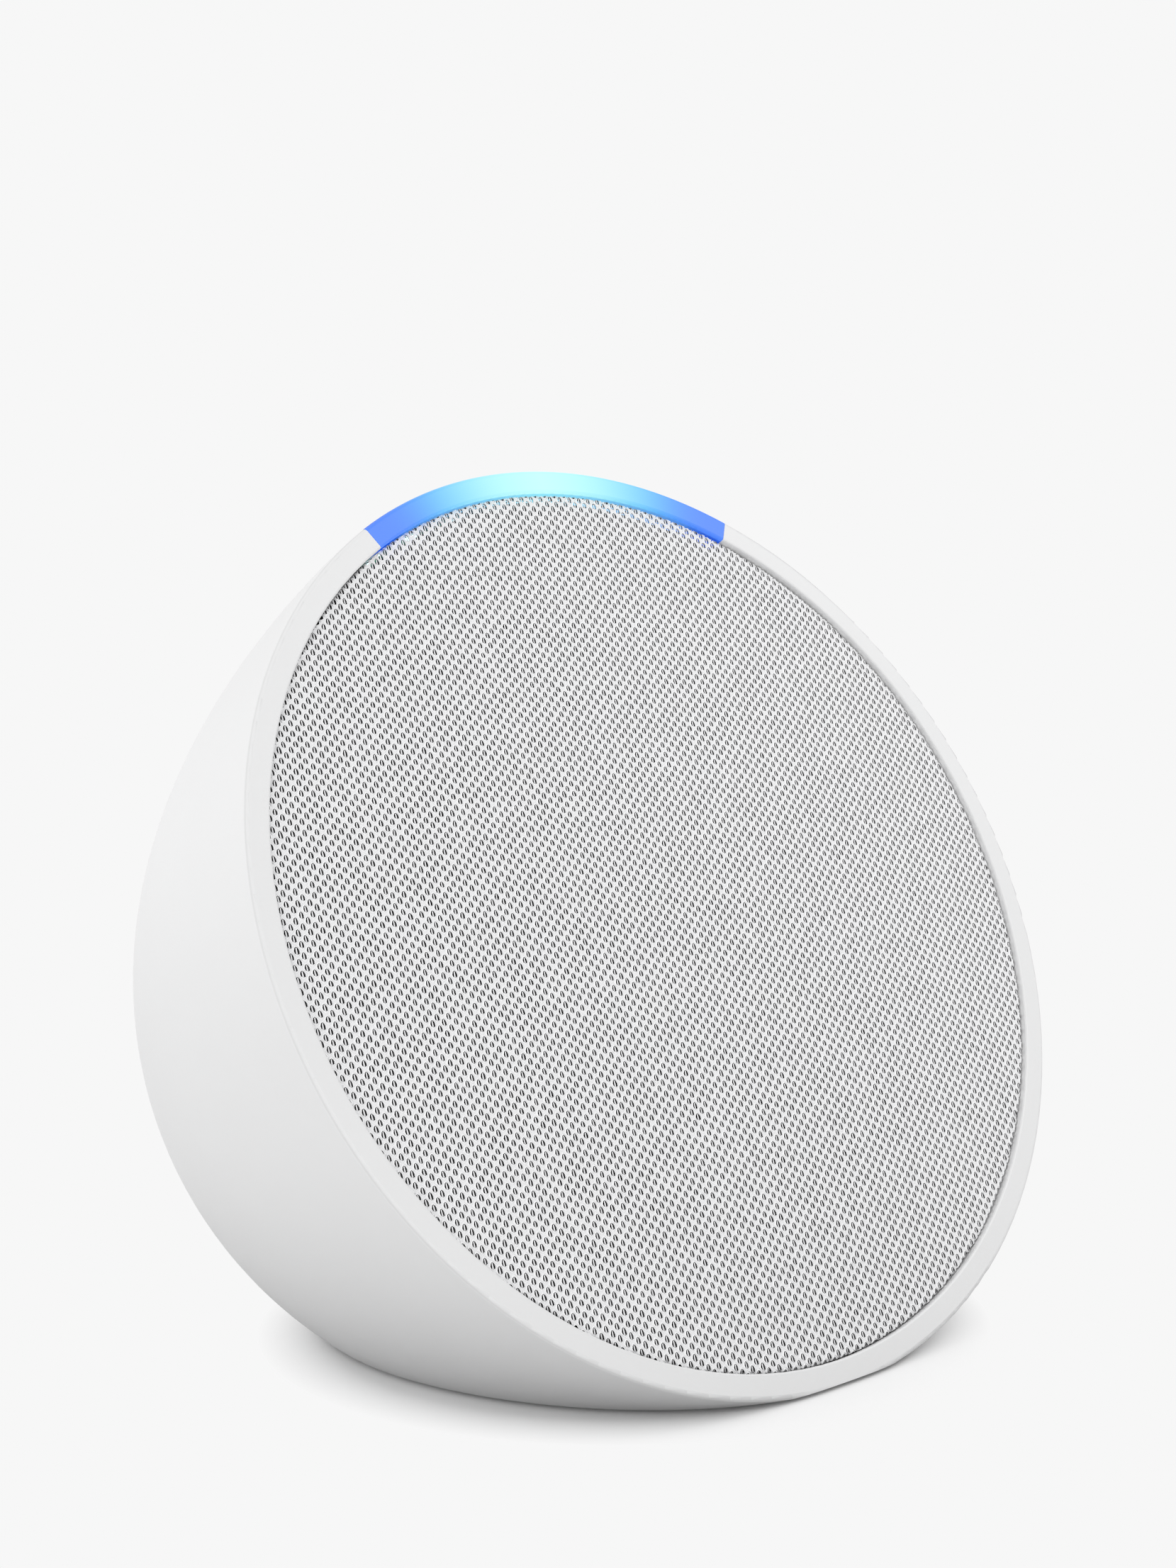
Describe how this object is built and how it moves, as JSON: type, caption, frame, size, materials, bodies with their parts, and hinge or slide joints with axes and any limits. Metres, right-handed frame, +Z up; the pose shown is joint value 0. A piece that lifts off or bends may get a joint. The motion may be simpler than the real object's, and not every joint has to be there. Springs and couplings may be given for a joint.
{
  "type": "smart speaker",
  "caption": "Half-sphere smart speaker with a tilted knit-covered round face, a light bar in the top of its rim, top push buttons, a front-firing driver and a rear power inlet.",
  "frame": {"origin": "middle of the footprint, on the surface the speaker stands on", "axes": "+Z up, the round face looks along -Y and leans back, +X to the right as seen from the front"},
  "size_m": [0.099, 0.0848, 0.0904],
  "materials": {
    "shell_white": "fine matte moulding",
    "button_white": "fine matte moulding",
    "light_diffuser": "frosted translucent, lit blue to pale cyan",
    "clear_guide": "clear moulded light guide",
    "knit_fabric": "pale grey open knit",
    "dark_plastic": "textured black moulding",
    "inner_plastic": "plain white moulding",
    "foot_rubber": "soft grey rubber",
    "soft_rubber": "soft black rubber",
    "surround_rubber": "satin rubber roll",
    "circuit_board": "green solder mask",
    "led_white": "led package",
    "screw_steel": "zinc-plated",
    "basket_steel": "black-coated pressed steel",
    "magnet_steel": "plated steel",
    "shield_steel": "tin-plated can",
    "heat_aluminium": "bare sheet",
    "copper_wire": "enamelled copper winding",
    "contact_brass": "nickel-plated contact",
    "cone_paper": "coated pulp",
    "spider_cloth": "resin-dipped cloth",
    "wire_insulation": "pvc insulation",
    "thermal_pad": "soft gap filler",
    "component_black": "moulded component",
    "connector_plastic": "nylon connector",
    "ribbon_film": "amber flex film",
    "jack_plastic": "moulded socket"
  },
  "bodies": {
    "chassis": {"housing": "shell_white", "light_bar": "light_diffuser", "light_guide": "clear_guide", "foot_pad": "foot_rubber", "led_board": "circuit_board", "led_packages": "led_white", "led_bracket": "inner_plastic", "grille_fabric": "knit_fabric", "grille_plate": "dark_plastic", "front_baffle": "dark_plastic", "baffle_screws": "screw_steel", "button_retainer": "inner_plastic", "button_board": "circuit_board", "switch_bodies": "dark_plastic", "button_board_screws": "screw_steel", "microphones": "shield_steel", "mic_boots": "soft_rubber", "speaker_basket": "basket_steel", "speaker_gasket": "soft_rubber", "speaker_screws": "screw_steel", "surround": "surround_rubber", "spider": "spider_cloth", "top_plate": "magnet_steel", "magnet": "magnet_steel", "yoke": "magnet_steel", "speaker_terminals": "circuit_board", "speaker_leads": "wire_insulation", "speaker_chamber": "dark_plastic", "chamber_screws": "screw_steel", "main_board": "circuit_board", "processor_shield": "shield_steel", "radio_shield": "shield_steel", "thermal_pad": "thermal_pad", "heat_spreader": "heat_aluminium", "power_parts": "component_black", "board_connectors": "connector_plastic", "board_screws": "screw_steel", "antennas": "circuit_board", "button_ribbon": "ribbon_film", "led_ribbon": "ribbon_film", "jack_housing": "jack_plastic", "jack_pin": "contact_brass", "jack_spring": "contact_brass", "jack_board": "circuit_board", "jack_screws": "screw_steel", "power_leads": "wire_insulation"},
    "volume_down_key": {"volume_down_button": "button_white", "volume_down_plunger": "component_black"},
    "mic_off_key": {"mic_off_button": "button_white", "mic_off_plunger": "component_black"},
    "volume_up_key": {"volume_up_button": "button_white", "volume_up_plunger": "component_black"},
    "cone_assembly": {"speaker_cone": "cone_paper", "dust_cap": "cone_paper", "voice_coil": "copper_wire"}
  },
  "joints": [
    {"name": "volume_down_press", "type": "slide", "parent": "chassis", "child": "volume_down_key", "axis": [0, -0.4067, -0.9135], "range_m": [0, 0.0003], "stiffness_N_per_m": 3000},
    {"name": "mic_off_press", "type": "slide", "parent": "chassis", "child": "mic_off_key", "axis": [0, -0.4067, -0.9135], "range_m": [0, 0.0003], "stiffness_N_per_m": 3000},
    {"name": "volume_up_press", "type": "slide", "parent": "chassis", "child": "volume_up_key", "axis": [0, -0.4067, -0.9135], "range_m": [0, 0.0003], "stiffness_N_per_m": 3000},
    {"name": "cone_travel", "type": "slide", "parent": "chassis", "child": "cone_assembly", "axis": [0, -0.9135, 0.4067], "range_m": [-0.0012, 0.0012], "stiffness_N_per_m": 1800, "deforming": ["surround", "spider"]}
  ]
}
